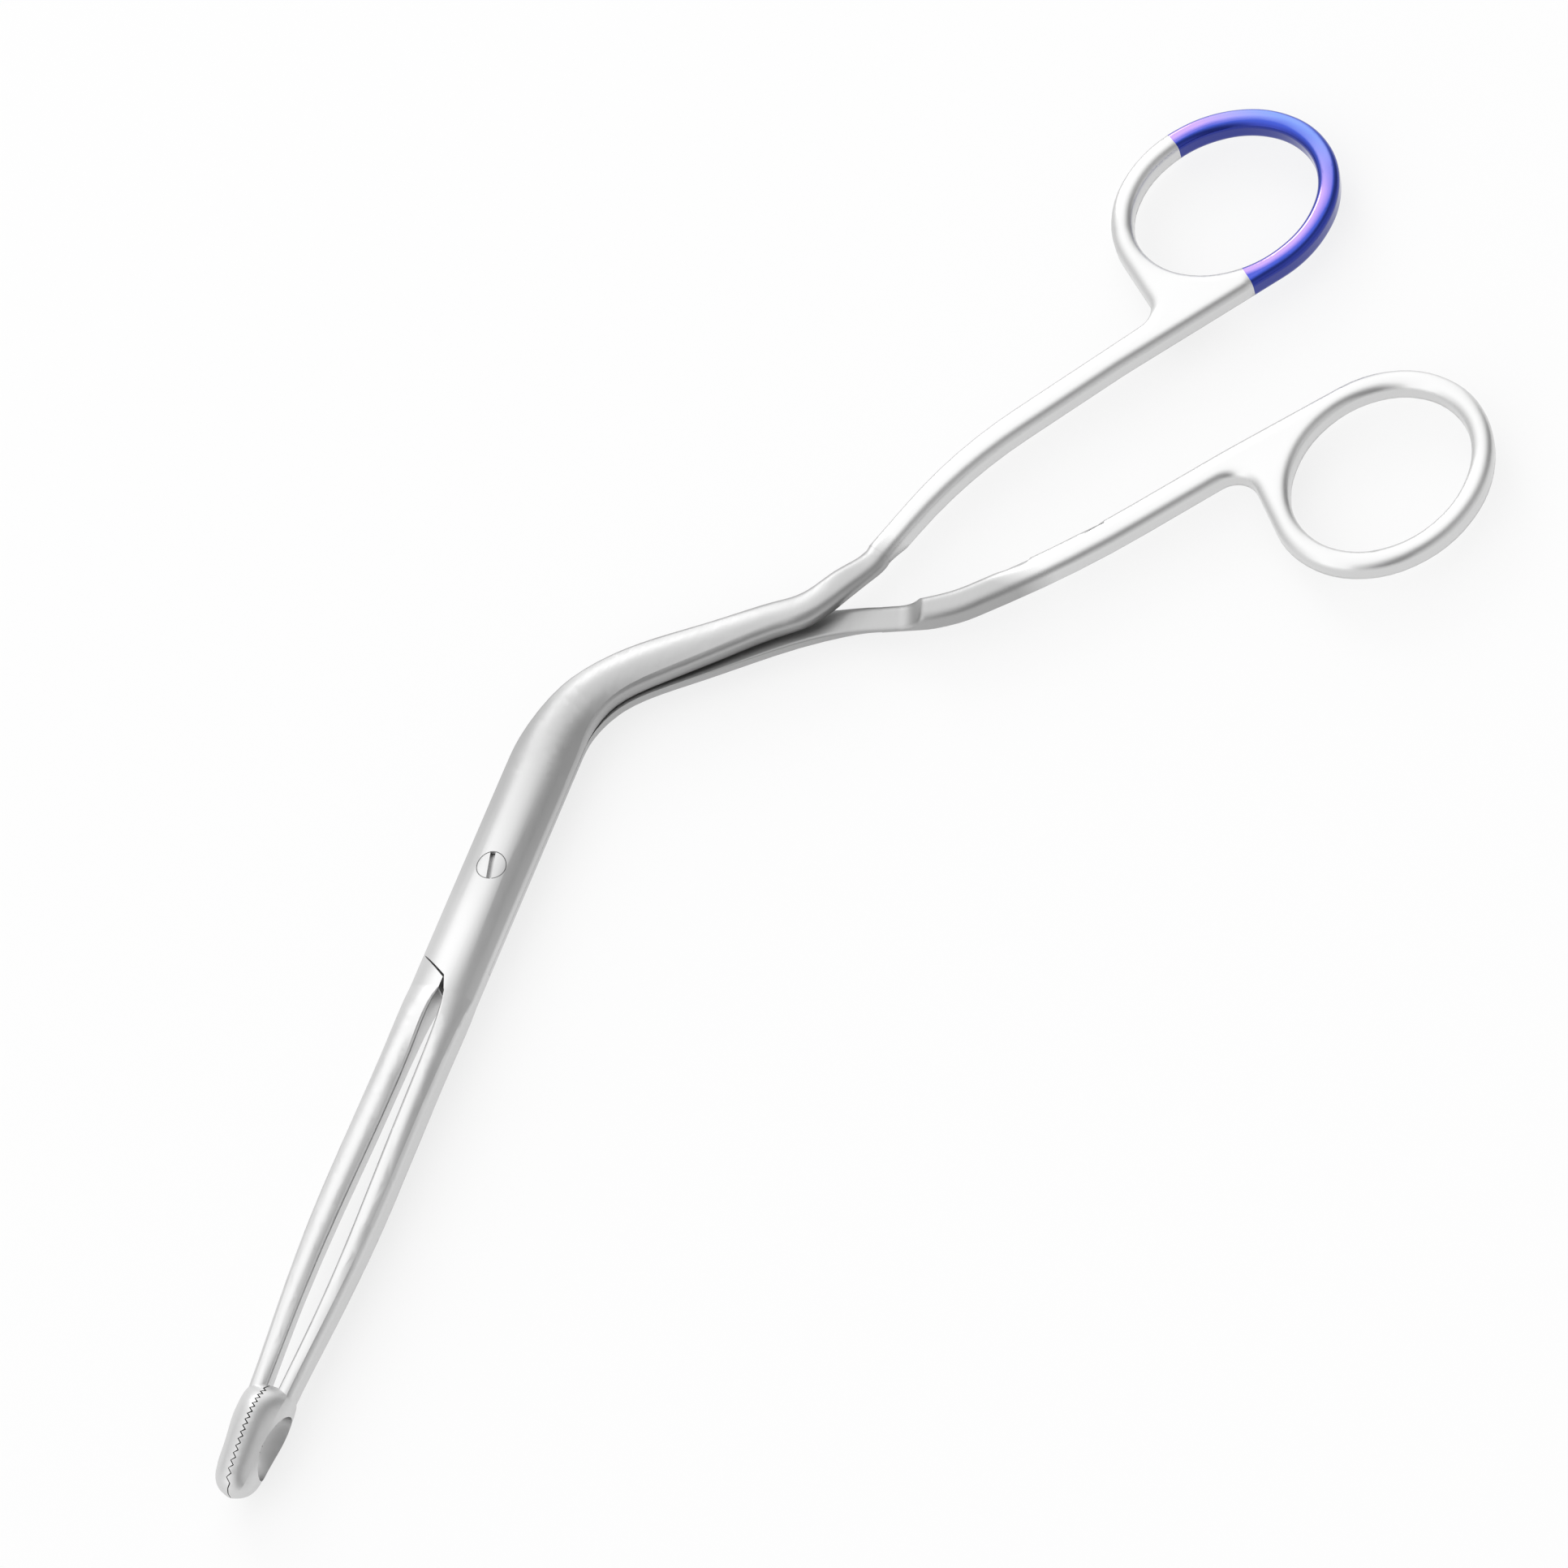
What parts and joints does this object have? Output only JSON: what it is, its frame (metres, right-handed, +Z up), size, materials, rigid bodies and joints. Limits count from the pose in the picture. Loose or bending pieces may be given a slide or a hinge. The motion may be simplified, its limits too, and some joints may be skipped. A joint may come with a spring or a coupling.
{
  "type": "magill forceps",
  "caption": "Bent-shaft tube-guiding forceps with finger rings, a screw pivot, long jaws and ribbed open loop tips.",
  "frame": {"origin": "under the middle of the closed tool's bounding box, on its lowest plane", "axes": "+X along the closed jaws towards their tips, +Y to the side the handles bend to, +Z up, to the screw's head"},
  "size_m": [0.2458, 0.1212, 0.0098],
  "materials": {
    "steel": "satin polished",
    "screw_steel": "satin",
    "blue_coating": "gloss"
  },
  "bodies": {
    "lower_half": {"lower_lever": "steel", "pivot_screw": "screw_steel"},
    "upper_half": {"upper_lever": "steel", "blue_coating_band": "blue_coating"}
  },
  "joints": [
    {"name": "pivot_hinge", "type": "hinge", "parent": "lower_half", "child": "upper_half", "pos_m": [0.02431, -0.05562, 0.00489], "axis": [0, 0, 1], "range_deg": [0, 24]}
  ]
}
